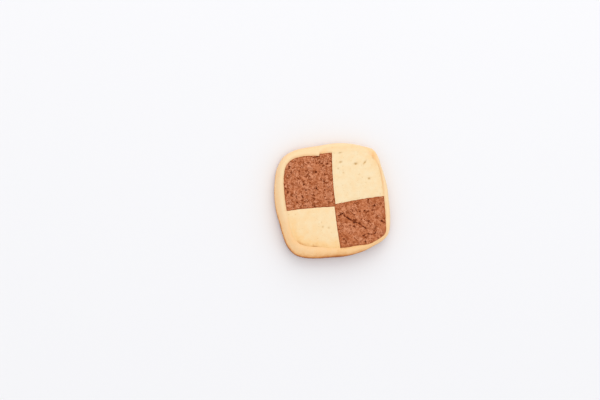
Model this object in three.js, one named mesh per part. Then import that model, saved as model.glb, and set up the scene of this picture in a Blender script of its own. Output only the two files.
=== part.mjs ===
import * as THREE from "three";

// A chequerboard biscuit, lying flat with its face up. Four bars of dough, two plain and two
// cocoa, were pressed into a square log, wrapped in a thin sheet of plain dough, sliced and baked.
// Millimetres. +Z is out of the face, and +Y is along the seam between the two upper bars. The
// origin is under the middle of the biscuit, on the surface that it lies on.

// Driving dimensions
const THICKNESS = 8;
const WIDEST_LEVEL = 1.6; // height at which the wrapper stands furthest out
const BASE_TUCK = 0.8; // how far the wrapper's foot is drawn in under that level
const SHOULDER_SQUARENESS = 2.6; // exponent of the superellipse from the face to the widest level
const JOINT = 0.3; // gap between two pieces of dough
const BAR_WIDTH = 21.5;

// The section of the log, drawn round the place where the four bars meet. An outline is made of
// four quarters, clockwise from the upper right one. Each is a superellipse between the ends of
// two seams: squareness is its exponent, and the bows are how far its first and its second side
// swell past it. A press is a place where a hand left the log fuller or flatter: quarters walked
// from the top, height and half-width, the last in quarters too.
const CROSSING = [0.4, -2.6];
const BLOCK = {
  seamEnds: [[2, 19.5], [21.7, -1.1], [0.3, -20.4], [-20.2, -2.65]],
  quarters: [
    { squareness: 3.2, bows: [-0.7, -0.45] },
    { squareness: 7.9, bows: [-0.15, 1.55] },
    { squareness: 3.45, bows: [-1.25, -0.3] },
    { squareness: 6.9, bows: [0.7, 0.05] },
  ],
  presses: [[1.34, -0.45, 0.11], [1.6, -0.85, 0.11], [1.82, -0.85, 0.11], [2.1, 0.45, 0.11]],
};
const RIM = {
  seamEnds: [[2.35, 23.75], [24.85, -0.85], [0.3, -24.15], [-22.6, -2.65]],
  quarters: [
    { squareness: 2.3, bows: [-0.05, 0.2] },
    { squareness: 3.55, bows: [-0.55, 0.85] },
    { squareness: 3.65, bows: [-0.4, -0.45] },
    { squareness: 4.7, bows: [0.95, -0.35] },
  ],
  presses: [
    [0.29, -0.55, 0.2], [0.52, 1.15, 0.2], [0.76, -1.15, 0.2],
    [1.43, 0.6, 0.2], [1.67, -1.2, 0.2], [3.04, 0.85, 0.2],
  ],
};

// The seams between bars. The two cocoa bars touch over a short stretch, from UPPER_MEETING,
// a corner of the upper right bar, to LOWER_MEETING, a corner of the lower left one.
const UPPER_MEETING = [0.65, -2.15];
const LOWER_MEETING = [0.1, -3.1];
const SEAM_BOWS = [0.33, 0.28, -0.12, -0.2]; // top, right, bottom, left

// The wrapper's end laps over the upper left bar, whose top edge steps down there.
const LAP = { x: -3.4, step: 0.9, reach: 4.5, softness: 0.25 };

// Relief of the face
const COCOA_PUFF = 0.15; // rise of a cocoa bar's middle over its edge
const PLAIN_PUFF = 0.25;
const EDGE_SOFTENING = 0.12; // drop of a bar's edge at the joints
const EDGE_REACH = 0.8;
const CRUMB_HEIGHT = 0.16; // of the coarse cocoa crumb, either way
const CRUMB_WIDTH = 1.5;
const RIM_WAVE_HEIGHT = 0.12; // of the rolled wrapper, either way
const RIM_WAVES = 34; // round the rim
const CRACK_DEPTH = 0.5;
const CRACK_HALF_WIDTH = 0.55;
// Bake cracks of the lower right bar, and the crease under the lap of the upper left one.
const CRACKS = [
  [[1.2, -7.1], [3.4, -6.2], [4.9, -8.3], [7.5, -10.5], [10.2, -11.9], [12.4, -13.9]],
  [[10.5, -16.7], [12.3, -16], [14.2, -16.6], [16, -16.1]],
  [[-7.1, 18.2], [-5.5, 18], [-3.6, 18.1]],
];
const DENT_DEPTH = 0.3;
// Dents of the plain bars: x, y, half-width
const DENTS = [
  [5.1, 15.1, 0.7], [11.4, 13.7, 0.9], [15.3, 13.6, 0.8], [16.3, 6.9, 0.7],
  [5.7, 10.5, 0.6], [-6, -11, 0.7], [-3.5, -11.7, 0.6],
];

// Facets
const COCOA_STEPS = 28; // along each side of a bar
const PLAIN_STEPS = 20;
const RIM_STEPS_A_QUARTER = 2 * COCOA_STEPS; // so that both follow the lap alike
const SHOULDER_STEPS = 9;
const FOOT_STEPS = 2;

// Colours, as the eye sees them
const COCOA_CRUMB = "#b8704a";
const PLAIN_CRUMB = "#fbe2b8";
const WRAPPER_CRUST = "#f8d9a6";

const point = ([x, y]) => new THREE.Vector2(x, y);

// A point of one quarter. A square is walked from the middle of one side to the middle of the
// next, pulled in to a superellipse, and laid along the two seams; the bows are added to that.
function quarterPoint(form, quarter, share) {
  const { squareness, bows } = form.quarters[quarter];
  const centre = point(CROSSING);
  const first = point(form.seamEnds[quarter]).sub(centre);
  const second = point(form.seamEnds[(quarter + 1) % 4]).sub(centre);
  const along = Math.min(1, 2 - 2 * share);
  const across = Math.min(1, 2 * share);
  const norm = (along ** squareness + across ** squareness) ** (1 / squareness);
  const u = along / norm;
  const v = across / norm;
  const firstSwell = bows[0] * 4 * v * (1 - v) * u ** squareness;
  const secondSwell = bows[1] * 4 * u * (1 - u) * v ** squareness;
  return centre
    .addScaledVector(first, u + firstSwell / first.length())
    .addScaledVector(second, v + secondSwell / second.length());
}

function plainOutline(form, walk) {
  const around = ((walk % 4) + 4) % 4;
  return quarterPoint(form, Math.floor(around), around % 1);
}

// The outward normal where the outline is walked clockwise.
function outwards(form, walk) {
  const STEP = 0.004;
  const way = plainOutline(form, walk + STEP).sub(plainOutline(form, walk - STEP)).normalize();
  return new THREE.Vector2(-way.y, way.x);
}

function outline(form, walk) {
  let rise = 0;
  for (const [at, height, halfWidth] of form.presses) {
    const away = THREE.MathUtils.euclideanModulo(walk - at + 2, 4) - 2;
    rise += height * Math.exp(-((away / halfWidth) ** 2));
  }
  return plainOutline(form, walk).addScaledVector(outwards(form, walk), rise);
}

// The outer edge of the four bars, with the step at the lap.
function blockEdge(walk) {
  const edge = outline(BLOCK, walk);
  const onLappedEdge = THREE.MathUtils.euclideanModulo(walk, 4) > 3.5;
  if (onLappedEdge) {
    const past = LAP.x - edge.x;
    const fall = LAP.step * Math.exp(-Math.max(past, 0) / LAP.reach);
    edge.y -= fall * THREE.MathUtils.smoothstep(past, -LAP.softness, LAP.softness);
  }
  return edge;
}

const rimEdge = (walk) => outline(RIM, walk);

// The middle of the rim's box, which goes to the origin.
function middleOfRim() {
  const box = new THREE.Box2();
  const SAMPLES = 2000;
  for (let i = 0; i < SAMPLES; i++) box.expandByPoint(rimEdge((4 * i) / SAMPLES));
  return box.getCenter(new THREE.Vector2());
}
const MIDDLE = middleOfRim();

// Random numbers from -1 to 1 at whole-number places, always the same, and smooth noise between.
function drawAt(i, j) {
  let bits = Math.imul(i, 374761393) ^ Math.imul(j, 668265263) ^ 0x5bd1e995;
  bits = Math.imul(bits ^ (bits >>> 13), 1274126177);
  return (((bits ^ (bits >>> 16)) >>> 0) / 0xffffffff) * 2 - 1;
}

function noise(x, y) {
  const i = Math.floor(x);
  const j = Math.floor(y);
  const s = THREE.MathUtils.smoothstep(x - i, 0, 1);
  const t = THREE.MathUtils.smoothstep(y - j, 0, 1);
  const lower = THREE.MathUtils.lerp(drawAt(i, j), drawAt(i + 1, j), s);
  const upper = THREE.MathUtils.lerp(drawAt(i, j + 1), drawAt(i + 1, j + 1), s);
  return THREE.MathUtils.lerp(lower, upper, t);
}

// Depth under the face of the nearest crack: a rounded trench along each of its stretches.
function crackDepth(place) {
  let depth = 0;
  for (const crack of CRACKS) {
    for (let i = 0; i + 1 < crack.length; i++) {
      const stretch = new THREE.Line3(
        new THREE.Vector3(...crack[i], 0),
        new THREE.Vector3(...crack[i + 1], 0),
      );
      const here = new THREE.Vector3(place.x, place.y, 0);
      const away = stretch.closestPointToPoint(here, true, new THREE.Vector3()).distanceTo(here);
      depth = Math.max(depth, CRACK_DEPTH * Math.exp(-((away / CRACK_HALF_WIDTH) ** 2)));
    }
  }
  return depth;
}

function dentDepth(place) {
  let depth = 0;
  for (const [x, y, halfWidth] of DENTS) {
    const away = Math.hypot(place.x - x, place.y - y);
    depth += DENT_DEPTH * Math.exp(-((away / halfWidth) ** 2));
  }
  return depth;
}

// Height of a bar's face. u and v run from 0 to 1 across the bar.
function faceHeight(place, u, v, cocoa) {
  const hump = 16 * u * (1 - u) * v * (1 - v);
  const toEdge = BAR_WIDTH * Math.min(u, 1 - u, v, 1 - v);
  const softened = EDGE_SOFTENING * Math.exp(-((toEdge / EDGE_REACH) ** 2));
  if (!cocoa) return THICKNESS + PLAIN_PUFF * hump - softened - dentDepth(place);
  const crumb = CRUMB_HEIGHT * noise(place.x / CRUMB_WIDTH, place.y / CRUMB_WIDTH);
  return THICKNESS + COCOA_PUFF * hump - softened + crumb - crackDepth(place);
}

// A seam: straight but for a bow, which a Bezier curve has at half its control point's offset.
function seam(from, side) {
  const start = point(from);
  const end = point(BLOCK.seamEnds[side]);
  const way = end.clone().sub(start).normalize();
  const sideways = new THREE.Vector2(-way.y, way.x);
  const control = start.clone().lerp(end, 0.5).addScaledVector(sideways, 2 * SEAM_BOWS[side]);
  const path = new THREE.CurvePath();
  path.add(new THREE.QuadraticBezierCurve(start, control, end));
  return path;
}

// The same seam, reached over the short stretch where the two cocoa bars touch.
function seamAfterContact(from, over, side) {
  const path = new THREE.CurvePath();
  path.add(new THREE.LineCurve(point(from), point(over)));
  path.add(seam(over, side).curves[0]);
  return path;
}

// The two seams of a bar, from its inner corner to the first and to the second end of its quarter.
const SEAMS = [
  [seam(UPPER_MEETING, 0), seam(UPPER_MEETING, 1)],
  [seam(UPPER_MEETING, 1), seamAfterContact(UPPER_MEETING, LOWER_MEETING, 2)],
  [seam(LOWER_MEETING, 2), seam(LOWER_MEETING, 3)],
  [seam(LOWER_MEETING, 3), seamAfterContact(LOWER_MEETING, UPPER_MEETING, 0)],
];

// A place in a bar: the Coons patch of its four sides, two seams and two halves of the outer edge.
function placeInBar(quarter, u, v) {
  const [firstSeam, secondSeam] = SEAMS[quarter];
  const firstSide = (share) => blockEdge(quarter + share / 2);
  const secondSide = (share) => blockEdge(quarter + 1 - share / 2);
  const inner = firstSeam.getPoint(0);
  return new THREE.Vector2()
    .addScaledVector(firstSeam.getPoint(u), 1 - v)
    .addScaledVector(secondSide(u), v)
    .addScaledVector(secondSeam.getPoint(v), 1 - u)
    .addScaledVector(firstSide(v), u)
    .addScaledVector(inner, -(1 - u) * (1 - v))
    .addScaledVector(firstSide(0), -u * (1 - v))
    .addScaledVector(secondSide(0), -(1 - u) * v)
    .addScaledVector(firstSide(1), -u * v);
}

// Joins a list of points and a list of triangles into a geometry.
function closedGeometry(points, triangles) {
  const geometry = new THREE.BufferGeometry().setFromPoints(points);
  geometry.setIndex(triangles);
  geometry.computeVertexNormals();
  return geometry;
}

// A bar of the log: a grid for its face, straight walls, and a fan for its flat underside. It is
// drawn in about its middle so that half a joint is left all round.
function barGeometry(quarter, steps, cocoa) {
  const middle = placeInBar(quarter, 0.5, 0.5);
  const drawnIn = 1 - JOINT / BAR_WIDTH;
  const points = [];
  for (let row = 0; row <= steps; row++) {
    for (let column = 0; column <= steps; column++) {
      const u = column / steps;
      const v = row / steps;
      const place = placeInBar(quarter, u, v);
      const height = faceHeight(place, u, v, cocoa);
      place.lerp(middle, 1 - drawnIn).sub(MIDDLE);
      points.push(new THREE.Vector3(place.x, place.y, height));
    }
  }
  const triangles = [];
  const wide = steps + 1;
  for (let row = 0; row < steps; row++) {
    for (let column = 0; column < steps; column++) {
      const corner = row * wide + column;
      triangles.push(corner, corner + 1 + wide, corner + 1);
      triangles.push(corner, corner + wide, corner + 1 + wide);
    }
  }
  const edge = [];
  for (let i = 0; i < steps; i++) edge.push(i);
  for (let i = 0; i < steps; i++) edge.push(i * wide + steps);
  for (let i = steps; i > 0; i--) edge.push(steps * wide + i);
  for (let i = steps; i > 0; i--) edge.push(i * wide);
  const firstBelow = points.length;
  for (const top of edge) points.push(points[top].clone().setZ(0));
  const hub = points.length;
  points.push(new THREE.Vector3(middle.x - MIDDLE.x, middle.y - MIDDLE.y, 0));
  edge.forEach((top, i) => {
    const next = (i + 1) % edge.length;
    triangles.push(top, edge[next], firstBelow + next);
    triangles.push(top, firstBelow + next, firstBelow + i);
    triangles.push(hub, firstBelow + i, firstBelow + next);
  });
  return closedGeometry(points, triangles);
}

// The wrapper's section where it is thick wide: places as [how far out, height], from the top of
// the inner wall over the shoulder and round the foot to the bottom of the inner wall.
function wrapperSection(thick) {
  const section = [];
  const rise = THICKNESS - WIDEST_LEVEL;
  for (let i = 0; i <= SHOULDER_STEPS; i++) {
    const turn = (i / SHOULDER_STEPS) * (Math.PI / 2);
    const outward = thick * Math.sin(turn) ** (2 / SHOULDER_SQUARENESS);
    const cosine = Math.max(Math.cos(turn), 0);
    section.push([outward, WIDEST_LEVEL + rise * cosine ** (2 / SHOULDER_SQUARENESS)]);
  }
  for (let i = 1; i <= FOOT_STEPS; i++) {
    const turn = (i / FOOT_STEPS) * (Math.PI / 2);
    section.push([thick - BASE_TUCK * (1 - Math.cos(turn)), WIDEST_LEVEL * (1 - Math.sin(turn))]);
  }
  section.push([0, 0]);
  return section;
}

// The wrapper: its section carried round the bars, between their outer edge and the rim.
function wrapperGeometry() {
  const around = 4 * RIM_STEPS_A_QUARTER;
  const points = [];
  let tall = 0;
  for (let i = 0; i < around; i++) {
    const walk = i / RIM_STEPS_A_QUARTER;
    const inner = blockEdge(walk).addScaledVector(outwards(BLOCK, walk), JOINT / 2);
    const across = rimEdge(walk).sub(inner);
    const thick = across.length();
    const section = wrapperSection(thick);
    tall = section.length;
    for (const [out, height] of section) {
      const place = inner.clone().addScaledVector(across, out / thick).sub(MIDDLE);
      const high = height / THICKNESS;
      const wave = RIM_WAVE_HEIGHT * noise((walk / 4) * RIM_WAVES, 3 * high) * 4 * high * (1 - high);
      place.addScaledVector(across, wave / thick);
      points.push(new THREE.Vector3(place.x, place.y, height));
    }
  }
  const triangles = [];
  for (let i = 0; i < around; i++) {
    const next = (i + 1) % around;
    for (let j = 0; j < tall; j++) {
      const below = (j + 1) % tall;
      triangles.push(i * tall + j, next * tall + j, next * tall + below);
      triangles.push(i * tall + j, next * tall + below, i * tall + below);
    }
  }
  return closedGeometry(points, triangles);
}

function baked(name, geometry, colour, roughness) {
  const material = new THREE.MeshStandardMaterial({ color: colour, roughness, metalness: 0 });
  const mesh = new THREE.Mesh(geometry, material);
  mesh.name = name;
  return mesh;
}

const biscuit = new THREE.Group();
const BARS = [
  ["plain_bar_upper_right", PLAIN_CRUMB],
  ["cocoa_bar_lower_right", COCOA_CRUMB],
  ["plain_bar_lower_left", PLAIN_CRUMB],
  ["cocoa_bar_upper_left", COCOA_CRUMB],
];
BARS.forEach(([name, colour], quarter) => {
  const cocoa = colour === COCOA_CRUMB;
  const geometry = barGeometry(quarter, cocoa ? COCOA_STEPS : PLAIN_STEPS, cocoa);
  biscuit.add(baked(name, geometry, colour, cocoa ? 0.95 : 0.85));
});
biscuit.add(baked("plain_wrapper", wrapperGeometry(), WRAPPER_CRUST, 0.85));

export default biscuit;
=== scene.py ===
import math

import bpy
import numpy as np
from mathutils import Matrix, Vector


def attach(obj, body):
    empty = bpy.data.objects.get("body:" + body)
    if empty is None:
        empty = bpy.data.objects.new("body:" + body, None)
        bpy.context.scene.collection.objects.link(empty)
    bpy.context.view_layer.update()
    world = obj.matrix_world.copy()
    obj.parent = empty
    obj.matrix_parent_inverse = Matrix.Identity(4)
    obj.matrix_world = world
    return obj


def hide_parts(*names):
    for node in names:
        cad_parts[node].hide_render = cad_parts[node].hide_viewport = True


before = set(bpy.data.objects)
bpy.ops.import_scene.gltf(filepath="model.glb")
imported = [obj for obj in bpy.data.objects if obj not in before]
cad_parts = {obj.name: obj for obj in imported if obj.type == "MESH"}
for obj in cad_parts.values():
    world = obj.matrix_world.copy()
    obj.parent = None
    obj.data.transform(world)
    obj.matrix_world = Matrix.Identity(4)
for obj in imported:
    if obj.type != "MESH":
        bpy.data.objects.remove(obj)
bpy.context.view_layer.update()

# ---------------------------------------------------------------------------------------------
# The two plain bars of the chequer. Each is a square stick of pale butter dough, flour, sugar and
# butter worked smooth, pressed corner to corner against its neighbours in the log and cut across
# with a knife, so that the slice's face is fine and nearly flat, with a few dents and pores.

MM = 0.001

# The section of the log, in millimetres about the place where the bars meet: four superellipse
# quarters, clockwise from the upper right one, each between the ends of two seams. Squareness is
# a quarter's exponent, and bows are how far its first and its second side swell past it. A press
# is a fuller or flatter place: quarters walked from the top, height, half-width in quarters.
CROSSING = np.array([0.4, -2.6])
BLOCK = {
    "seam_ends": np.array([[2, 19.5], [21.7, -1.1], [0.3, -20.4], [-20.2, -2.65]]),
    "squareness": np.array([3.2, 7.9, 3.45, 6.9]),
    "bows": np.array([[-0.7, -0.45], [-0.15, 1.55], [-1.25, -0.3], [0.7, 0.05]]),
    "presses": [
        (1.34, -0.45, 0.11), (1.6, -0.85, 0.11), (1.82, -0.85, 0.11), (2.1, 0.45, 0.11),
    ],
}
MIDDLE = np.array([0.50478, -0.19203])  # of the whole slice, which goes to the origin
THICKNESS = 8.0
BAR_WIDTH = 21.5  # about; it turns shares of a bar into millimetres
UPPER_MEETING = np.array([0.65, -2.15])  # the inner corner of the upper right bar
LOWER_MEETING = np.array([0.1, -3.1])  # and of the lower left one; the cocoa bars touch between
SEAM_BOWS = [0.33, 0.28, -0.12, -0.2]  # top, right, bottom, left

# The wrapper's end laps over at this x, and pushes the upper left bar's top edge in by the step.
LAP_X = -3.4
LAP_STEP = 0.9
LAP_REACH = 4.5  # over which the step dies away
LAP_SOFTNESS = 0.25
LAP_FROM = 3.5  # quarters walked; the lap is past this


def ease(x, low, high):
    """The smooth step: 0 below low, 1 above high, and 3 t squared less 2 t cubed between."""
    t = np.clip((x - low) / (high - low), 0, 1)
    return t * t * (3 - 2 * t)


def hill(x, half_width):
    """A bell of height 1: e to the minus of (x over half_width) squared."""
    return np.exp(-((x / half_width) ** 2))


def round_distance(walk, at):
    """How far round the outline walk is from at, in quarters, from -2 to 2."""
    return (walk - at + 2) % 4 - 2


def plain_outline(form, walk):
    """walk's whole part is the quarter and its rest the share s. A square's side is walked from
    (1, 0) over (1, 1) to (0, 1), and pulled in to u, v on the superellipse u^n + v^n = 1. The
    point is the crossing + u * first seam + v * second seam, and each side swells by its bow
    times 4 v (1 - v) u^n, or 4 u (1 - u) v^n."""
    quarter = np.floor(walk % 4).astype(int)
    share = walk % 1
    n = form["squareness"][quarter]
    along = np.minimum(1, 2 - 2 * share)
    across = np.minimum(1, 2 * share)
    norm = (along**n + across**n) ** (1 / n)
    u, v = along / norm, across / norm
    first = form["seam_ends"][quarter] - CROSSING
    second = form["seam_ends"][(quarter + 1) % 4] - CROSSING
    bows = form["bows"][quarter]
    u_swell = bows[..., 0] * 4 * v * (1 - v) * u**n / np.linalg.norm(first, axis=-1)
    v_swell = bows[..., 1] * 4 * u * (1 - u) * v**n / np.linalg.norm(second, axis=-1)
    return CROSSING + first * (u + u_swell)[..., None] + second * (v + v_swell)[..., None]


def outwards(form, walk):
    """The outline's way over a short step, turned a quarter to the left, since it is clockwise."""
    step = 0.004
    way = plain_outline(form, walk + step) - plain_outline(form, walk - step)
    way /= np.linalg.norm(way, axis=-1, keepdims=True)
    return np.stack([-way[..., 1], way[..., 0]], axis=-1)


def outline(form, walk):
    """The plain outline, moved outwards by the sum of the presses, each a bell round its place."""
    rise = sum(
        height * hill(round_distance(walk, at), wide) for at, height, wide in form["presses"]
    )
    return plain_outline(form, walk) + outwards(form, walk) * rise[..., None]


def block_edge(walk):
    """The outer edge of the four bars. Past the lap the upper left bar's top edge is lower by
    the step, which dies away to the left as e to the minus of the distance over its reach."""
    edge = outline(BLOCK, walk)
    past = LAP_X - edge[..., 0]
    fall = LAP_STEP * np.exp(-np.maximum(past, 0) / LAP_REACH)
    fall *= ease(past, -LAP_SOFTNESS, LAP_SOFTNESS)
    edge[..., 1] -= np.where(walk % 4 > LAP_FROM, fall, 0)
    return edge


SEAM_ENDS = block_edge(np.arange(4.0))


def seam(start, side, share):
    """From start to the seam's end on that side: the straight line, plus sideways the bow times
    4 t (1 - t)."""
    way = SEAM_ENDS[side] - start
    sideways = np.array([-way[1], way[0]]) / np.linalg.norm(way)
    bow = 4 * SEAM_BOWS[side] * share * (1 - share)
    return start + share[..., None] * way + bow[..., None] * sideways


def seam_past_contact(start, over, side, share):
    """The short straight stretch from start to over, then the seam from there, each taking its
    share by its length."""
    short = np.linalg.norm(over - start)
    split = short / (short + np.linalg.norm(SEAM_ENDS[side] - over))
    contact = start + (share / split)[..., None] * (over - start)
    beyond = seam(over, side, np.maximum(share - split, 0) / (1 - split))
    return np.where((share < split)[..., None], contact, beyond)


def inner_side(quarter, which, share):
    """A bar's side along its first seam, where which is 0, or its second, where it is 1. A cocoa
    bar's second side starts with the stretch where the two cocoa bars touch."""
    start, opposite = UPPER_MEETING, LOWER_MEETING
    if quarter > 1:
        start, opposite = opposite, start
    side = (quarter + which) % 4
    if which == 1 and quarter % 2 == 1:
        return seam_past_contact(start, opposite, side, share)
    return seam(start, side, share)


def place_in_bar(quarter, u, v):
    """The Coons patch of the bar's four sides: two seams and two halves of the outer edge. Each
    pair of sides is blended across, and the four corners blended both ways are taken off."""
    outer_corners = block_edge(quarter + np.array([0, 0.5, 1]))
    U, V = u[..., None], v[..., None]
    sides = inner_side(quarter, 0, u) * (1 - V) + block_edge(quarter + 1 - u / 2) * V
    sides = sides + inner_side(quarter, 1, v) * (1 - U) + block_edge(quarter + v / 2) * U
    corners = inner_side(quarter, 0, np.zeros(1)) * (1 - U) * (1 - V)
    corners = corners + outer_corners[0] * U * (1 - V)
    corners = corners + outer_corners[1] * U * V + outer_corners[2] * (1 - U) * V
    return sides - corners


def noise(x, y, seed, cells=(64, 64)):
    """Gradient noise, about -1 to 1. Each whole-number place has a random slope; a point's value
    is the four slopes' heights there, blended by 6t^5 - 15t^4 + 10t^3. It repeats after cells."""
    turn = np.random.default_rng(seed).random(cells) * 2 * np.pi
    i, j = np.floor(x).astype(int), np.floor(y).astype(int)
    s, t = x - i, y - j

    def height(di, dj):
        """One corner's slope at the point: its way, a unit arrow, times the way from the corner."""
        angle = turn[(i + di) % cells[0], (j + dj) % cells[1]]
        return np.cos(angle) * (s - di) + np.sin(angle) * (t - dj)

    a, b = s**3 * (s * (6 * s - 15) + 10), t**3 * (t * (6 * t - 15) + 10)
    lower = height(0, 0) * (1 - a) + height(1, 0) * a
    upper = height(0, 1) * (1 - a) + height(1, 1) * a
    return 1.5 * (lower * (1 - b) + upper * b)


def rough(x, y, size, seed, octaves=4):
    """Noise of that size in millimetres, plus half as much at half the size, and so on."""
    return sum(noise(x / size * 2**k, y / size * 2**k, seed + k) / 2**k for k in range(octaves))


def nearest_points(x, y, seed, cells=(64, 64)):
    """Cell noise. Each whole-number square holds one random point. For each place it gives the
    distance to the nearest point, how much further away the second nearest is, and two random
    numbers that belong to the nearest one. It repeats after cells."""
    random = np.random.default_rng(seed).random((4, *cells))
    i, j = np.floor(x).astype(int), np.floor(y).astype(int)
    nearest, second = np.full(x.shape, 9.0), np.full(x.shape, 9.0)
    own = np.zeros((2, *x.shape))
    for di in (-1, 0, 1):
        for dj in (-1, 0, 1):
            point = random[:, (i + di) % cells[0], (j + dj) % cells[1]]
            away = np.hypot(i + di + point[0] - x, j + dj + point[1] - y)
            own = np.where(away < nearest, point[2:], own)
            second = np.minimum(second, np.maximum(nearest, away))
            nearest = np.minimum(nearest, away)
    return nearest, second - nearest, own[0], own[1]


SEAM_WANDER, WANDER_SIZE = 0.1, 1.7


def uneven(place):
    """Moves places in the slice by slow noise, so that its seams aren't ruled lines. It depends
    on the place alone, and so neighbours stay together."""
    x, y = place[..., 0], place[..., 1]
    wander = [rough(x, y, WANDER_SIZE, seed, 2) for seed in (201, 211)]
    return place + SEAM_WANDER * np.stack(wander, axis=-1)


# Where the joint between a plain bar and the wrapper stayed open: place round the outline and
# half-width, in quarters, and how open. Elsewhere it was pressed shut but for the least share.
OPEN_JOINTS = [(0.82, 0.28, 1), (2.72, 0.42, 0.45)]
LEAST_OPEN = 0.08


def joint_depth(walk):
    """How open that joint is, 0 to 1: the least share, and over it the highest of the bells round
    the open places."""
    bells = [share * hill(round_distance(walk, at), wide) for at, wide, share in OPEN_JOINTS]
    return LEAST_OPEN + (1 - LEAST_OPEN) * np.max(bells, axis=0)


EDGE_SOFTENING = 0.12  # how far a face falls at an open joint, and within what distance of it
EDGE_REACH = 0.55


def edge_drop(quarter, u, v, plain):
    """The greatest of four falls towards the bar's sides, each EDGE_SOFTENING times a bell of the
    distance. A plain bar falls towards the wrapper by joint_depth."""
    far_joint = joint_depth(quarter + v / 2) if plain else 1
    near_joint = joint_depth(quarter + 1 - u / 2) if plain else 1
    sides = [(u, 1), (v, 1), (1 - u, far_joint), (1 - v, near_joint)]
    return EDGE_SOFTENING * np.max([s * hill(BAR_WIDTH * d, EDGE_REACH) for d, s in sides], axis=0)


KNIFE_WAVE, KNIFE_WAVE_SIZE = 0.05, 5
FACE_GRAIN, FACE_GRAIN_SIZE = 0.025, 0.8


def face_waves(x, y):
    """How the knife left the whole face: slow waves, and the fine grain of the crumb."""
    waves = KNIFE_WAVE * rough(x, y, KNIFE_WAVE_SIZE, 11)
    return waves + FACE_GRAIN * rough(x, y, FACE_GRAIN_SIZE, 21)


def hump(u, v):
    """How far the middle of a bar rose over its edge: 16 u (1 - u) v (1 - v), 1 in the middle."""
    return 16 * u * (1 - u) * v * (1 - v)


PINHOLE_SPACING = 1.3
PINHOLE_DEPTH = 0.12
HOLE_WANDER, HOLE_WANDER_SIZE = 0.12, 0.5  # how uneven their outlines are


def pinholes(x, y, cells=(64, 64)):
    """Small holes that gas left in the plain dough: cell noise, moved by fine noise so that they
    aren't round, where half of the points have a hole of 0.1 to 0.3 mm, with soft walls. 0 is the
    face and 1 the bottom of the deepest."""
    x = x + HOLE_WANDER * noise(x / HOLE_WANDER_SIZE, y / HOLE_WANDER_SIZE, 311)
    y = y + HOLE_WANDER * noise(x / HOLE_WANDER_SIZE, y / HOLE_WANDER_SIZE, 312)
    away, _, size, chosen = nearest_points(x / PINHOLE_SPACING, y / PINHOLE_SPACING, 301, cells)
    radius = 0.06 + 0.2 * size**2
    return (chosen > 0.5) * ease(-away, -radius, -0.2 * radius) * (0.3 + 0.7 * size)


PLAIN_DENTS = [  # x, y, half-length, half-width, way in degrees, depth
    (5.1, 15.1, 0.75, 0.4, 10, 0.3), (11.4, 13.7, 0.8, 0.5, 0, 0.34),
    (15.3, 13.8, 1.1, 0.35, 48, 0.28), (16.3, 6.9, 0.5, 0.45, 0, 0.34),
    (3.7, 12.5, 0.4, 0.4, 0, 0.2), (5.5, 19.1, 0.9, 0.4, 20, 0.22),
    (5.7, 10.5, 0.4, 0.4, 0, 0.16), (19.2, 15.3, 0.7, 0.4, -60, 0.14),
    (-6, -11, 0.5, 0.4, 30, 0.2), (-3.5, -11.7, 0.5, 0.4, 0, 0.2),
    (-10, -18.9, 1.8, 0.35, -17, 0.3),
]


def dent_depth(x, y, dents):
    """The sum of the dents: each its depth times a bell of the distance, measured along and
    across its way in its own half-length and half-width."""
    total = np.zeros_like(x)
    for at_x, at_y, long, wide, way, depth in dents:
        c, s = math.cos(math.radians(way)), math.sin(math.radians(way))
        along = (c * (x - at_x) + s * (y - at_y)) / long
        across = (-s * (x - at_x) + c * (y - at_y)) / wide
        total += depth * np.exp(-(along**2) - across**2)
    return total


PLAIN_PUFF = 0.25
PLAIN_GRID = 215
# An open joint is a little golden and painted darker with the shade of its groove.
JOINT_LINE = 0.45  # half-width of the tone along an open joint
FACE_TONE = 0.04  # how browned a plain face is at the least
FACE_MOTTLES = [(0.055, 2.6), (0.02, 0.7)]  # strength and size
LOWER_LEFT_CORNER = (-14.5, -14.5)  # the golden places at the two bars' outer corners
UPPER_RIGHT_CORNER = (18.8, 15.3)


def from_place(x, y, place):
    """The distance of x, y from a place."""
    return np.hypot(x - place[0], y - place[1])


def plain_face(quarter, place, u, v):
    """Height of the face, how browned it is, and its painted shade. Height: the thickness and the
    hump, less the edge's drop, the dents and the pinholes, plus the knife's waves. Browning: bells
    of the distance to the outer sides and corners, most in the lower left bar, plus mottling, and
    a little along an open joint, partly as painted shade of its groove. The dents, the pinholes
    and the joint get painted shade, which darkens the colour."""
    x, y = place[..., 0], place[..., 1]
    dents = dent_depth(x, y, PLAIN_DENTS)
    holes = pinholes(x, y)
    height = THICKNESS + PLAIN_PUFF * hump(u, v) - edge_drop(quarter, u, v, True)
    height += face_waves(x, y) - dents - PINHOLE_DEPTH * holes
    to_far, to_near = BAR_WIDTH * (1 - u), BAR_WIDTH * (1 - v)
    line = np.maximum(
        joint_depth(quarter + v / 2) * hill(to_far, JOINT_LINE),
        joint_depth(quarter + 1 - u / 2) * hill(to_near, JOINT_LINE),
    )
    (slow, slow_size), (fine, fine_size) = FACE_MOTTLES
    golden = FACE_TONE + 0.04 * line + slow * rough(x, y, slow_size, 31)
    golden += fine * noise(x / fine_size, y / fine_size, 35)
    if quarter == 2:
        streak = hill(to_near - 1.8, 2) * ease(-y, 4, 9)
        golden += 0.03 + 0.03 * ease(-x, 4, 10) + 0.12 * streak + 0.19 * hill(to_far, 4)
        golden += 0.06 * hill(from_place(x, y, LOWER_LEFT_CORNER), 4)
    else:
        golden += 0.1 * hill(from_place(x, y, UPPER_RIGHT_CORNER), 2.6)
        golden += 0.05 * hill(to_near, 2.5)
    # Painted shade: the dents, the pinholes and the open joint darken the colour.
    hollow_shade = 2.2 * dents + 0.3 * holes + 0.26 * line
    return height, {"browning": np.clip(golden, 0, 1), "hollow_shade": np.clip(hollow_shade, 0, 1)}


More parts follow.
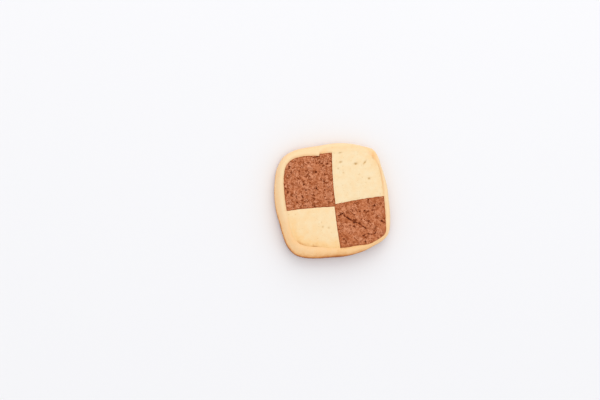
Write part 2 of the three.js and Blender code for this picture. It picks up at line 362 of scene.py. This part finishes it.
TRAY_TONE = 0.66  # how browned the underside is where it touched the tray
TRAY_HOLLOW = 0.1  # depth of its shallow hollows
HOLLOW_SIZE, TRAY_MOTTLE_SIZE = 2.2, 1.6
OTHER_HOLES = 50  # a shift, so that the holes below aren't those of the face


def underside(x, y):
    """Height and tone of the underside. It lay flat on the tray but for shallow hollows, where a
    slow noise is high, and small holes; it browned where it touched, and less in the hollows."""
    hollows = ease(rough(x, y, HOLLOW_SIZE, 41), 0.15, 0.9)
    holes = pinholes(x + OTHER_HOLES, y)
    # The small holes are painted browner: painted shade.
    tone = TRAY_TONE + 0.06 * rough(x, y, TRAY_MOTTLE_SIZE, 45) - 0.22 * hollows + 0.15 * holes
    return TRAY_HOLLOW * hollows + PINHOLE_DEPTH / 2 * holes, np.clip(tone, 0, 1)


def bar_surface(quarter, steps, face):
    """A closed shell on a square grid of u and v: the face, the same grid again on the underside,
    and straight walls between their edges. The underside's tone is its browning, or its crumb tone
    and shade, and it gets no painted hollow shade."""
    shares = np.linspace(0, 1, steps + 1)
    v, u = np.meshgrid(shares, shares, indexing="ij")
    place = uneven(place_in_bar(quarter, u, v))
    height, attributes = face(quarter, place, u, v)
    inside = (u > 0) & (u < 1) & (v > 0) & (v < 1)
    under, tone = underside(place[..., 0], place[..., 1])
    under = np.where(inside, under, 0)
    x, y = (place - MIDDLE)[..., 0], (place - MIDDLE)[..., 1]
    points = np.concatenate([np.stack([x, y, z], -1).reshape(-1, 3) for z in (height, under)])
    at = np.arange((steps + 1) ** 2).reshape(steps + 1, steps + 1)
    quads = np.stack([at[:-1, :-1], at[1:, :-1], at[1:, 1:], at[:-1, 1:]], -1).reshape(-1, 4)
    loop = np.concatenate([at[0, :-1], at[:-1, -1], at[-1, :0:-1], at[:0:-1, 0]])
    after = np.roll(loop, -1)
    walls = np.stack([loop, after, after + at.size, loop + at.size], -1)
    faces = np.concatenate([quads, quads[:, ::-1] + at.size, walls])
    below = {"hollow_shade": np.zeros_like(tone)}
    both = {
        name: np.concatenate([values.ravel(), below.get(name, tone).ravel()])
        for name, values in attributes.items()
    }
    return points, faces, both


SHARP_EDGE = math.radians(75)


def make_piece(name, points, faces, attributes, material):
    """Puts millimetre points and quads into a mesh, with its attributes, one number a point each.
    It is smooth but for its sharp edges, and rides on the part's one body."""
    mesh = bpy.data.meshes.new(name)
    mesh.vertices.add(len(points))
    mesh.vertices.foreach_set("co", (points * MM).astype(np.float32).ravel())
    mesh.loops.add(faces.size)
    mesh.loops.foreach_set("vertex_index", faces.astype(np.int32).ravel())
    mesh.polygons.add(len(faces))
    mesh.polygons.foreach_set("loop_start", np.arange(0, faces.size, 4, dtype=np.int32))
    mesh.update(calc_edges=True)
    for attribute, values in attributes.items():
        layer = mesh.attributes.new(attribute, "FLOAT", "POINT")
        layer.data.foreach_set("value", values.astype(np.float32).ravel())
    mesh.polygons.foreach_set("use_smooth", np.ones(len(faces), bool))
    mesh.set_sharp_from_angle(angle=SHARP_EDGE)
    mesh.materials.append(material)
    piece = bpy.data.objects.new(name, mesh)
    bpy.context.scene.collection.objects.link(piece)
    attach(piece, "root")
    return piece


def linear(hex_colour):
    """A hex colour as the eye sees it, to linear light: below 0.04045 over 12.92, and above it
    ((c + 0.055) / 1.055) to the power 2.4."""
    parts = [int(hex_colour[i : i + 2], 16) / 255 for i in (1, 3, 5)]
    return [c / 12.92 if c <= 0.04045 else ((c + 0.055) / 1.055) ** 2.4 for c in parts] + [1.0]


def add_node(tree, kind, links=(), values=None, **settings):
    """One node with its settings, the values of its inputs, by name or number, and the links into
    it: input, from node, output."""
    node = tree.nodes.new("ShaderNode" + kind)
    for name, value in settings.items():
        setattr(node, name, value)
    for to, value in (values or {}).items():
        node.inputs[to].default_value = value
    for to, source, output in links:
        tree.links.new(source.outputs[output], node.inputs[to])
    return node


def colour_stops(ramp, stops):
    """Sets a ramp's stops: place from 0 to 1, and hex colour."""
    elements = ramp.color_ramp.elements
    while len(elements) < len(stops):
        elements.new(0.5)
    for element, (place, colour) in zip(elements, stops):
        element.position = place
        element.color = linear(colour)


CRUMB_ROUGHNESS = 0.82  # dry and matt
CRUMB_IOR = 1.45  # flour, sugar and fat are 1.45 to 1.55
CRUMB_SPECULAR = 0.3
PORE_WANDER = 0.8  # of the pores' spacing, so that they are neither round nor in rows
PORE_FLOOR = 0.3  # the flat part of a pore, of its radius


def baked_dough(name, stops, attribute, fine, grain, pores):
    """Baked dough: a colour by how browned a place is, or by its crumb tone and painted shade,
    shifted by fine mottling, with painted shade in its pores of many sizes and in its hollows,
    and a bump of fine crumb, grains and pores. Sizes, spacings and bumps are in millimetres, and
    a pore's radius is a share of the spacing."""
    material = bpy.data.materials.new(name)
    material.use_nodes = True
    tree = material.node_tree
    tree.nodes.clear()
    where = add_node(tree, "TexCoord")

    amount = add_node(tree, "Attribute", attribute_name=attribute)
    crumb = add_node(
        tree, "TexNoise", [("Vector", where, "Object")],
        {"Scale": 1 / (fine["size"] * MM), "Detail": 3, "Roughness": 0.6},
    )
    shift = add_node(
        tree, "Math", [(0, crumb, "Fac")], {1: fine["mottle"], 2: -fine["mottle"] / 2},
        operation="MULTIPLY_ADD",
    )
    together = add_node(tree, "Math", [(0, amount, "Fac"), (1, shift, "Value")], operation="ADD")
    ramp = add_node(tree, "ValToRGB", [("Fac", together, "Value")])
    colour_stops(ramp, stops)

    moved = add_node(
        tree, "VectorMath", [(0, crumb, "Color"), (2, where, "Object")],
        {1: [PORE_WANDER * pores["spacing"] * MM] * 3}, operation="MULTIPLY_ADD",
    )
    pore = add_node(
        tree, "TexVoronoi", [("Vector", moved, "Vector")],
        {"Scale": 1 / (pores["spacing"] * MM)}, feature="F1",
    )
    sizes = add_node(tree, "SeparateColor", [("Color", pore, "Color")])
    share = add_node(tree, "Math", [(0, pore, "Distance"), (1, sizes, "Red")], operation="DIVIDE")
    spot = add_node(
        tree, "MapRange", [("Value", share, "Value")],
        {"From Min": pores["radius"] * PORE_FLOOR, "From Max": pores["radius"],
         "To Min": 1, "To Max": 0},
        interpolation_type="SMOOTHSTEP",
    )
    # Painted shade: the pores and the painted hollow shade darken the colour, multiplied by the
    # pores' colour.
    pore_shade = add_node(
        tree, "Math", [(0, spot, "Result")], {1: pores["strength"]}, operation="MULTIPLY"
    )
    hollow_shade = add_node(tree, "Attribute", attribute_name="hollow_shade")
    dark = add_node(tree, "Math", [(0, hollow_shade, "Fac"), (1, pore_shade, "Value")], operation="MAXIMUM")
    speckled = add_node(  # 6 and 7 are the colours, and output 2 the mixed one
        tree, "Mix", [("Factor", dark, "Value"), (6, ramp, "Color")],
        {7: linear(pores["colour"])}, data_type="RGBA", blend_type="MULTIPLY",
    )

    fine_bump = add_node(
        tree, "Bump", [("Height", crumb, "Fac")], {"Strength": 1, "Distance": fine["bump"] * MM}
    )
    grains = add_node(
        tree, "TexVoronoi", [("Vector", where, "Object")],
        {"Scale": 1 / (grain["size"] * MM), "Smoothness": 0.3}, feature="SMOOTH_F1",
    )
    grain_bump = add_node(
        tree, "Bump", [("Height", grains, "Distance"), ("Normal", fine_bump, "Normal")],
        {"Strength": 1, "Distance": grain["bump"] * MM}, invert=True,
    )
    pore_bump = add_node(
        tree, "Bump", [("Height", spot, "Result"), ("Normal", grain_bump, "Normal")],
        {"Strength": 1, "Distance": pores["bump"] * MM}, invert=True,
    )
    shader = add_node(
        tree, "BsdfPrincipled", [("Base Color", speckled, 2), ("Normal", pore_bump, "Normal")],
        {"Roughness": CRUMB_ROUGHNESS, "IOR": CRUMB_IOR, "Specular IOR Level": CRUMB_SPECULAR},
    )
    add_node(tree, "OutputMaterial", [("Surface", shader, "BSDF")])
    return material


# Butter dough, baked pale: sugar and milk solids colour it cream, turning golden and then brown
# where it met more heat. The eye sees a fine, dry, matt crumb with hardly any gloss. Its sugar
# and flour grains are 0.05 to 0.2 mm; they are drawn at 0.3 to 0.5 mm, since finer ones wouldn't
# show, and its pores, of up to 0.2 mm, stand 0.8 mm apart.
BUTTER_BROWNING = [
    (0, "#f2dcb3"), (0.25, "#f3c98d"), (0.45, "#d99a58"), (0.7, "#ae6a2c"), (1, "#7a3a0a"),
]
# The pores' colour is painted shade, multiplied into the pores and the hollows.
plain_dough = baked_dough(
    "butter_dough", BUTTER_BROWNING, "browning",
    fine={"size": 0.5, "bump": 0.04, "mottle": 0.08},
    grain={"size": 0.3, "bump": 0.03},
    pores={"spacing": 0.8, "radius": 0.28, "bump": 0.03, "strength": 0.2, "colour": "#cbb07c"},
)
for name, quarter in (("plain_bar_upper_right", 0), ("plain_bar_lower_left", 2)):
    bar = make_piece(name + "_crumb", *bar_surface(quarter, PLAIN_GRID, plain_face), plain_dough)
    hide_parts(name)

# ---------------------------------------------------------------------------------------------
# The two cocoa bars. The same butter dough with cocoa powder in place of some of the flour, which
# makes it shorter and coarser: it tears under the knife and in the oven, so that the face is all
# small crumbs with pits and worm-like cracks between, and the lower right bar has long bake cracks.

COCOA_PUFF = 0.15
COCOA_GRID = 220
CRUMBS = [(0.95, 0.17, 0.5), (0.45, 0.09, 0.4), (0.25, 0.05, 0.25)]  # size, height, shade
GAP_WIDTH = 0.2  # of the cracks between crumbs, in crumbs
GAP_STRETCH = 1.3  # size of the stretches over which they open and close
WANDER, CRUMB_WANDER_SIZE = 0.3, 1.3  # how unevenly crumbs and cracks lie
PIT_SPACING = 1.5  # of the small pits
PIT_DEPTH = 0.28
PIT_CHANCE = 0.5  # that a random point has a pit
# Each bar's cut: the knife's way, how far it drew the crumbs out, how coarse and loose they are.
CUT = {
    1: {"lean": -35, "stretch": 1.2, "coarse": 0.84, "loose": 0.62},
    3: {"lean": -20, "stretch": 1.05, "coarse": 0.82, "loose": 0.78},
}
SMOOTH_STRIP = 0.55  # width along the edges where the neighbours kept the dough whole
LONG_CRACKS = [  # points of each, then its depth and half-width
    ([(1.2, -7.1), (3.4, -6.2), (3.7, -7.4), (4.9, -8.3), (6.4, -9.8), (7.5, -10.5),
      (9.1, -11.1), (10.2, -11.9), (11.6, -13.3), (12.4, -13.9)], 0.42, 0.27),
    ([(10.5, -16.7), (12.3, -16), (14.2, -16.6), (16, -16.1)], 0.38, 0.27),
    ([(-7.1, 18.6), (-5.5, 18.35), (-3.6, 18.45)], 0.3, 0.22),
]
COCOA_PITS = [  # x, y, half-width: the pits that stand out
    (13.8, -10.9, 0.45), (8.4, -9.7, 0.4), (7.4, -12.5, 0.4), (16.8, -18.4, 0.35),
    (11.2, -19.1, 0.35), (2.4, -17.1, 0.3), (19.5, -11.4, 0.35), (17, -4.6, 0.4),
    (14.2, -6.8, 0.35), (12.5, -6.3, 0.35), (10.5, -6.3, 0.3), (14.9, -1.9, 0.3),
    (-16.2, 13, 0.45), (-12.9, 13.3, 0.35), (-5.9, 12.1, 0.45), (-10.3, 10.6, 0.45),
    (-5.2, 15.7, 0.35), (-0.6, 15, 0.3), (-11.6, 7.5, 0.4), (-2.9, 8.1, 0.4),
    (-6.7, 5.3, 0.4), (-18.8, 4.9, 0.4), (-15.4, 2.7, 0.35), (-15.4, 0.5, 0.4),
    (-7.9, 1, 0.35), (0.1, 1.9, 0.4), (-13.1, 0.9, 0.4), (-11.1, 4.9, 0.3),
]
MEAN_SHADE = 0.44  # how dark the face is between its palest crumbs, 0, and its deepest pits, 1
PIT_SHADE, CRACK_SHADE = 0.6, 1.3
EDGE_SHADES = [(0.12, 0.4), (0.06, 1.5)]  # strength and half-width of the darkening at the sides


def crack_depth(x, y, wander):
    """The deepest of the cracks there: each stretch is a trench whose depth is a bell of the
    distance to it, where the place is first moved by the wander, so that it runs unevenly."""
    depth = np.zeros_like(x)
    for points, deep, half_width in LONG_CRACKS:
        for (ax, ay), (bx, by) in zip(points, points[1:]):
            span_x, span_y = bx - ax, by - ay
            px, py = x + wander[0] - ax, y + wander[1] - ay
            share = np.clip((px * span_x + py * span_y) / (span_x**2 + span_y**2), 0, 1)
            away = np.hypot(px - share * span_x, py - share * span_y)
            depth = np.maximum(depth, deep * hill(away, half_width))
    return depth


def crumb_relief(quarter, x, y, a, b):
    """Height and shade of the crumbs, at places a, b drawn out along the knife's way. They are
    cell noise in three sizes: each crumb rises from the gap round it to a height of its own, the
    gaps are open where a slower noise is high, and all of it is deeper where the face is torn."""
    cut = CUT[quarter]
    torn = cut["loose"] + 0.6 * ease(rough(x, y, 3.5, 81 + quarter, 3), -0.5, 0.5)
    relief = 0.08 * rough(x, y, 3.2, 91 + quarter, 2)
    shade = 0
    for k, (size, high, share) in enumerate(CRUMBS):
        size = size * cut["coarse"]
        seed = quarter + 10 * k
        _, gap, own, level = nearest_points(a / size, b / size, 71 + seed, (97, 97))
        opened = ease(noise(a / GAP_STRETCH, b / GAP_STRETCH, 161 + seed), -0.5, 0.2)
        gaps = (1 - ease(gap, -0.03, GAP_WIDTH)) * opened
        crumb = (ease(own, -0.1, 0.3) * (0.65 + 0.35 * level) - gaps - 0.5) * torn
        relief += high * crumb
        shade -= share * crumb
    return relief, shade


def cocoa_face(quarter, place, u, v):
    """Height of the face, its crumb tone with painted shade, and its painted hollow shade. The
    pits, those that stand out and the small ones at random, and the long cracks are cut into the
    crumbs, and all of it fades out towards the sides."""
    x, y = place[..., 0], place[..., 1]
    lean, stretch = math.radians(CUT[quarter]["lean"]), CUT[quarter]["stretch"]
    wander = [WANDER * rough(x, y, CRUMB_WANDER_SIZE, seed) for seed in (51, 61)]
    a = (math.cos(lean) * x + math.sin(lean) * y) / stretch + wander[0]
    b = -math.sin(lean) * x + math.cos(lean) * y + wander[1]
    relief, shade = crumb_relief(quarter, x, y, a, b)
    pits = sum(
        hill(np.hypot(x - px + 0.6 * wander[0], y - py + 0.6 * wander[1]), wide)
        for px, py, wide in COCOA_PITS
    )
    away, _, size, chosen = nearest_points(a / PIT_SPACING, b / PIT_SPACING, 171 + quarter)
    pits += (chosen > 1 - PIT_CHANCE) * (0.3 + 0.5 * size) * hill(away, 0.09 + 0.08 * size)
    cracks = crack_depth(x, y, (0.5 * wander[0], 0.5 * wander[1]))
    cracks *= 0.4 + 0.6 * ease(rough(x, y, 1.6, 151, 2), -0.45, 0.15)

    to_edge = BAR_WIDTH * np.min([u, 1 - u, v, 1 - v], axis=0)
    inner = ease(to_edge, 0.1, SMOOTH_STRIP)
    relief -= PIT_DEPTH * pits
    height = THICKNESS + COCOA_PUFF * hump(u, v) - edge_drop(quarter, u, v, False)
    height += face_waves(x, y) + relief * (0.2 + 0.8 * inner) - cracks * ease(to_edge, 0, 0.4)
    # Each crumb's random level is its own tone; painted shade darkens the gaps, pits and cracks and
    # makes raised crumbs paler. The colour also darkens towards the sides.
    shade = MEAN_SHADE + (shade + PIT_SHADE * pits) * (0.3 + 0.7 * inner) + CRACK_SHADE * cracks
    shade += sum(strength * hill(to_edge, wide) for strength, wide in EDGE_SHADES)
    hollow_shade = PIT_SHADE / 2 * pits + CRACK_SHADE * cracks
    return height, {"crumb_tone_and_shade": np.clip(shade, 0, 1), "hollow_shade": np.clip(hollow_shade, 0, 1)}


# Cocoa butter dough, baked: milk-chocolate brown, dry and dull. Raised crumbs look paler and
# warmer, and the pits between them nearly black-brown, because light does not get in. Cocoa
# powder is far too fine to show, under 0.05 mm; the grain drawn is the sugar's, 0.2 mm and up.
COCOA_DEPTHS = [(0, "#db946d"), (0.35, "#bc6d41"), (0.65, "#944516"), (1, "#652200")]
# The pores' colour is painted shade, multiplied into the pores and the hollows.
cocoa_dough = baked_dough(
    "cocoa_dough", COCOA_DEPTHS, "crumb_tone_and_shade",
    fine={"size": 0.35, "bump": 0.05, "mottle": 0.15},
    grain={"size": 0.22, "bump": 0.04},
    pores={"spacing": 0.55, "radius": 0.3, "bump": 0.04, "strength": 0.3, "colour": "#8a5433"},
)
for name, quarter in (("cocoa_bar_lower_right", 1), ("cocoa_bar_upper_left", 3)):
    bar = make_piece(name + "_crumb", *bar_surface(quarter, COCOA_GRID, cocoa_face), cocoa_dough)
    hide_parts(name)

# ---------------------------------------------------------------------------------------------
# The wrapper: a rolled sheet of the same plain dough, put round the four bars and lapped over its
# own end above the upper left bar. Its outside swelled and rounded in the oven, and its foot,
# which lay on the hot tray, browned most; it is browner still at the lower side, partly as
# painted contact shade, and the left side is darkened with painted shade.

RIM = {
    "seam_ends": np.array([[2.35, 23.75], [24.85, -0.85], [0.3, -24.15], [-22.6, -2.65]]),
    "squareness": np.array([2.3, 3.55, 3.65, 4.7]),
    "bows": np.array([[-0.05, 0.2], [-0.55, 0.85], [-0.4, -0.45], [0.95, -0.35]]),
    "presses": [
        (0.29, -0.55, 0.2), (0.5, 1.5, 0.19), (0.76, -1.15, 0.2),
        (1.43, 0.6, 0.2), (1.67, -1.2, 0.2), (3.04, 0.85, 0.2),
    ],
}
WRAPPER_THICKNESS = 4.0  # about; it varies round the slice
WIDEST_LEVEL = 1.6  # height at which the wrapper stands furthest out
BASE_TUCK = 0.8  # how far the foot is drawn in
SHOULDER_SQUARENESS = 2.6
FOLD_BROWNING, JOINT_BROWNING_AND_SHADE = 0.11, 0.07
ROUND_STEPS = 1500
SHOULDER_STEPS, FOOT_STEPS, UNDER_STEPS, WALL_STEPS = 44, 10, 10, 2
ROUND_LENGTH = 165.0  # of the rim, about; the noise round it repeats after this


def shoulder(turn):
    """A superellipse quarter from the face, at turn 0, to the widest level at a quarter turn: out
    is sin^(2/n), and the height above the widest level falls as cos^(2/n)."""
    out = np.sin(turn) ** (2 / SHOULDER_SQUARENESS)
    fall = np.maximum(np.cos(turn), 0) ** (2 / SHOULDER_SQUARENESS)
    return out, WIDEST_LEVEL + (THICKNESS - WIDEST_LEVEL) * fall


def run_length(out, high):
    """Millimetres along the section to each of its points, the sum of the steps between them."""
    steps = np.hypot(WRAPPER_THICKNESS * np.diff(out), np.diff(high))
    return np.concatenate([[0], np.cumsum(steps)])


def wrapper_section():
    """The section as shares: out, 0 to 1 of the wrapper's thickness there, tuck, 0 to 1 of how
    far the foot is drawn in, and height. The shoulder in even steps, an ellipse quarter for the
    foot, the flat underside, and the inner wall."""
    turn = np.linspace(0, np.pi / 2, 400)
    length = run_length(*shoulder(turn))
    even = np.interp(np.linspace(0, length[-1], SHOULDER_STEPS + 1), length, turn)
    out, high = shoulder(even)
    turn = np.linspace(0, np.pi / 2, FOOT_STEPS + 1)[1:]
    foot = [1 + 0 * turn, 1 - np.cos(turn), WIDEST_LEVEL * (1 - np.sin(turn))]
    share = np.linspace(1, 0, UNDER_STEPS + 1)[1:]
    under = [share, share, 0 * share]
    share = np.linspace(0, 1, WALL_STEPS + 1)[1:-1]
    wall = [0 * share, 0 * share, THICKNESS * share]
    return np.concatenate([[out, 0 * out, high], foot, under, wall], axis=1)


FOLD_AWAY = 1.9  # how far outside the bars the outer turn of the sheet starts, at the most
FOLD_DEPTH = 0.1
FOLD_WIDTH = 0.55


def outer_fold(walk):
    """The line where the outer turn of the sheet starts: its distance from the bars' edge, and
    its strength. It leaves the bars at the lap, runs outside them along the top, comes back to
    them at the upper right corner, and ends at the right."""
    away = round_distance(walk, 0)
    distance = FOLD_AWAY * ease(away, -0.14, -0.02) * (1 - ease(away, 0.35, 0.72))
    return distance, ease(away, -0.16, -0.08) * (1 - ease(away, 0.85, 1.05))


def round_noise(lengthwise, sideways, size, seed):
    """Noise of that size over the wrapper. Round the rim it has a whole number of cells, so that
    its end meets its start."""
    cells = round(ROUND_LENGTH / size)
    return noise(lengthwise / ROUND_LENGTH * cells, sideways / size, seed, (cells, 64))


# Each place has a tone of its own: browning, but at the left side painted shade, and at the lower
# side partly painted contact shade.
RIM_PLACES = {  # places round the rim with a browning of their own: quarters walked, half-width
    "lower side": (2, 0.75), "left side": (3, 0.5), "lap": (3.72, 0.25),
    "lower left corner": (2.72, 0.2), "upper right corner": (0.52, 0.09),
}
BROWN_LEVEL = 2.4  # height below which the wall is brown, and how much more at the lower side
BROWN_LEVEL_RISE = 4.2
BROWN_FADE = 3.5  # height over which the brown sets in
MOST_BROWN = 0.8


def wrapper_browning(walk, lengthwise, sideways, out, high):
    """How browned the wrapper is. Golden and then brown towards the foot, below a ragged line
    that stands highest at the lower side, where the brown is partly painted contact shade, and
    darkest at the very edge; a little golden on the face and shoulder at the places in RIM_PLACES,
    which at the left side is painted shade and at the lower side partly painted contact shade;
    and mottled all over, more so where it is brown."""
    lower_side, left_side, lap, lower_left, upper_right = [
        hill(round_distance(walk, at), wide) for at, wide in RIM_PLACES.values()
    ]
    ragged = 0.5 * round_noise(lengthwise, sideways, 4, 131)
    ragged = ragged + 0.3 * round_noise(lengthwise, sideways, 1.2, 132)
    # The brown line stands higher at the lower side, partly as painted contact shade.
    line = BROWN_LEVEL + BROWN_LEVEL_RISE * lower_side + ragged
    brown = ease(-high, -line, -line + BROWN_FADE)
    foot = 0.14 * ease(-high, -line - 2, -line + 1) + 0.46 * brown + 0.1 * ease(-high, -1.2, -0.2)
    # At the left side the extra tone is painted shade.
    side = ease(out, 0.3, 1) * (0.03 + 0.12 * left_side) + 0.2 * lower_side + 0.08 * lap
    side = side + 0.12 * lower_left * (1 - ease(out, 0.3, 0.9))
    side = side + 0.16 * upper_right * ease(high, 2, 6)
    mottled = round_noise(lengthwise, sideways, 2.5, 141)
    mottled = mottled + 0.5 * round_noise(lengthwise, sideways, 0.75, 142)
    return np.minimum(0.02 + side + foot, MOST_BROWN) + (0.035 + 0.05 * brown) * mottled


SKIN_BUMPS = [(0.03, 1.5, 111), (0.015, 0.6, 121)]  # height, size and seed of the fine ones
SWELLING = 0.12  # height of the slow waves
SWELLING_LONG, SWELLING_HIGH = 5.5, 5
SKIN_HOLE_DEPTH = 0.08


def skin_relief(lengthwise, sideways, high, skin, holes):
    """How far the wrapper's skin stands out: slow waves that end above the foot, two finer
    bumps, and its small holes. skin is 0 on the cut face and the underside, and 1 on the skin."""
    cells = round(ROUND_LENGTH / SWELLING_LONG)
    waves = noise(lengthwise / SWELLING_LONG, sideways / SWELLING_HIGH, 101, (cells, 64))
    bump = SWELLING * waves * ease(high, 0.2, 1.2)
    for height, size, seed in SKIN_BUMPS:
        bump = bump + height * round_noise(lengthwise, sideways, size, seed)
    return skin * (bump - SKIN_HOLE_DEPTH * holes)


def wrapper_surface():
    """The section carried round the bars: each point is the bars' edge, plus its share of the way
    to the rim. Its cut face has the height of the bars' faces, and drops at the joint and in the
    fold. Its skin waves by slow noise, and is finely rough, with small holes."""
    out, tuck, high = wrapper_section()
    row = np.arange(len(out))
    on_top = row <= SHOULDER_STEPS
    below = (row > SHOULDER_STEPS + FOOT_STEPS) & (high == 0)
    walk = np.arange(ROUND_STEPS)[:, None] * 4 / ROUND_STEPS
    lengthwise = walk / 4 * ROUND_LENGTH
    sideways = run_length(out, high)
    inner = block_edge(walk)
    across = outline(RIM, walk) - inner
    thick = np.linalg.norm(across, axis=-1)
    from_bars = thick * out

    skin = ease(out, 0.05, 0.5) * (on_top | (high > 0))
    hole_cells = round(ROUND_LENGTH / PINHOLE_SPACING)
    holes = pinholes(walk / 4 * hole_cells * PINHOLE_SPACING, sideways, (hole_cells, 64))
    bump = skin_relief(lengthwise, sideways, high, skin, holes)
    slope_out = out ** (SHOULDER_SQUARENESS - 1)
    reach = from_bars - BASE_TUCK * tuck + bump * slope_out
    moved = (uneven(inner) - inner) * (1 - ease(out, 0, 0.7))[:, None]
    place = inner + across / thick[..., None] * reach[..., None] + moved

    x, y = place[..., 0], place[..., 1]
    joint = np.where(walk % 2 < 1, joint_depth(walk), 1.0)
    fold, fold_strength = outer_fold(walk)
    cut = on_top * (1 - ease(out, 0.5, 0.9))
    drop = EDGE_SOFTENING * joint * hill(from_bars, EDGE_REACH)
    drop = drop + FOLD_DEPTH * fold_strength * hill(from_bars - fold, FOLD_WIDTH)
    rise = high + bump * (1 - slope_out) * ease(high, 0.2, 1.2)
    rise = rise + cut * face_waves(x, y) - on_top * drop

    browning = wrapper_browning(walk, lengthwise, sideways, out, high)
    browning += on_top * FOLD_BROWNING * fold_strength * hill(from_bars - fold, 1)
    # Along the joint the crust is a little browner, partly as painted shade of its groove.
    browning += on_top * JOINT_BROWNING_AND_SHADE * joint * hill(from_bars, 0.6)
    browning = np.where(below, underside(x, y)[1], browning)
    shut = on_top * joint * hill(from_bars - 0.2, 0.6)
    # Painted shade: the skin's small holes and the joint next to the bars darken the colour.
    attributes = {"browning": np.clip(browning, 0, 1), "hollow_shade": 0.25 * skin * holes + 0.2 * shut}

    points = np.stack([x - MIDDLE[0], y - MIDDLE[1], np.maximum(rise, 0)], axis=-1)
    at = np.arange(rise.size).reshape(rise.shape)
    after = np.roll(at, -1, axis=0)
    quads = np.stack([at, after, np.roll(after, -1, axis=1), np.roll(at, -1, axis=1)], -1)
    return points.reshape(-1, 3), quads.reshape(-1, 4), attributes


# The crust of the same butter dough: drier and a little warmer than the cut face, smooth from
# rolling, with faint mottling; it browns to caramel at the foot. Its grain is drawn a little
# coarser again than the crumb's, because the sheet was rolled smooth.
CRUST_BROWNING = [
    (0, "#f2daac"), (0.12, "#f4d0a1"), (0.25, "#f7c88e"),
    (0.45, "#d9924c"), (0.7, "#aa5f22"), (1, "#7a3a0a"),
]
# The pores' colour is painted shade, multiplied into the pores and the hollows.
crust = baked_dough(
    "butter_crust", CRUST_BROWNING, "browning",
    fine={"size": 0.6, "bump": 0.04, "mottle": 0.1},
    grain={"size": 0.35, "bump": 0.025},
    pores={"spacing": 0.9, "radius": 0.26, "bump": 0.03, "strength": 0.2, "colour": "#cfb58c"},
)
wrapper = make_piece("plain_wrapper_crust", *wrapper_surface(), crust)
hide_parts("plain_wrapper")

# ---------------------------------------------------------------------------------------------
# The table: a sheet of white studio paper, far larger than the slice, with no edge in view.

HALF_SHEET = 1.5
sheet = bpy.data.meshes.new("studio_paper")
sheet.from_pydata(
    [(x * HALF_SHEET, y * HALF_SHEET, 0) for x, y in ((-1, -1), (1, -1), (1, 1), (-1, 1))],
    [], [(0, 1, 2, 3)],
)
floor = bpy.data.objects.new("studio_paper", sheet)
bpy.context.scene.collection.objects.link(floor)

# White paper: matt, with the faintest cool grey and almost no gloss.
paper = bpy.data.materials.new("studio_paper")
paper.use_nodes = True
paper_shader = paper.node_tree.nodes["Principled BSDF"]
paper_shader.inputs["Base Color"].default_value = linear("#eeeeef")
paper_shader.inputs["Roughness"].default_value = 0.9
paper_shader.inputs["Specular IOR Level"].default_value = 0.1
sheet.materials.append(paper)

# ---------------------------------------------------------------------------------------------
# The studio: white walls all round, and one large soft box over the far side of the slice.

WALL_STRENGTH = 0.98
world = bpy.data.worlds.new("white_room")
world.use_nodes = True
walls = world.node_tree.nodes["Background"]
walls.inputs["Color"].default_value = linear("#fdfdff")
walls.inputs["Strength"].default_value = WALL_STRENGTH
bpy.context.scene.world = world

BOX_PLACE = Vector((0.2, 0.7, 0.6))
lamp = bpy.data.lights.new("soft_box_far", "AREA")
lamp.shape = "SQUARE"
lamp.size = 0.8
lamp.energy = 2.4
soft_box = bpy.data.objects.new("soft_box_far", lamp)
soft_box.location = BOX_PLACE
soft_box.rotation_euler = (-BOX_PLACE).to_track_quat("-Z", "Y").to_euler()
bpy.context.scene.collection.objects.link(soft_box)

bpy.context.scene.view_settings.view_transform = "Standard"

# The camera: 85 mm lens, over the slice and a little to its left and near side, turned so that
# the slice leans the way that it leaned.
LEAN = math.radians(6.5)
TO_LEFT, TO_NEAR = math.radians(10), math.radians(5)
DISTANCE = 595 * MM
LENS, SENSOR = 85, 36
AIM = Vector((-MIDDLE[0] * MM, -MIDDLE[1] * MM, THICKNESS / 2 * MM))
AIM_PIXELS_RIGHT, PICTURE_WIDTH = 31.5, 600  # the aim's place in the picture, right of its middle

right = Vector((math.cos(LEAN), -math.sin(LEAN), 0))
up = Vector((math.sin(LEAN), math.cos(LEAN), 0))
back = (Vector((0, 0, 1)) - math.tan(TO_LEFT) * right - math.tan(TO_NEAR) * up).normalized()
right = (right - right.dot(back) * back).normalized()
up = back.cross(right)
lens = bpy.data.cameras.new("camera")
lens.lens, lens.sensor_width = LENS, SENSOR
lens.clip_start, lens.clip_end = 0.01, 10
camera = bpy.data.objects.new("camera", lens)
aside = AIM_PIXELS_RIGHT / (PICTURE_WIDTH * LENS / SENSOR) * DISTANCE
facing = Matrix((right, up, back)).transposed().to_4x4()
camera.matrix_world = Matrix.Translation(AIM + DISTANCE * back - aside * right) @ facing
bpy.context.scene.collection.objects.link(camera)
bpy.context.scene.camera = camera
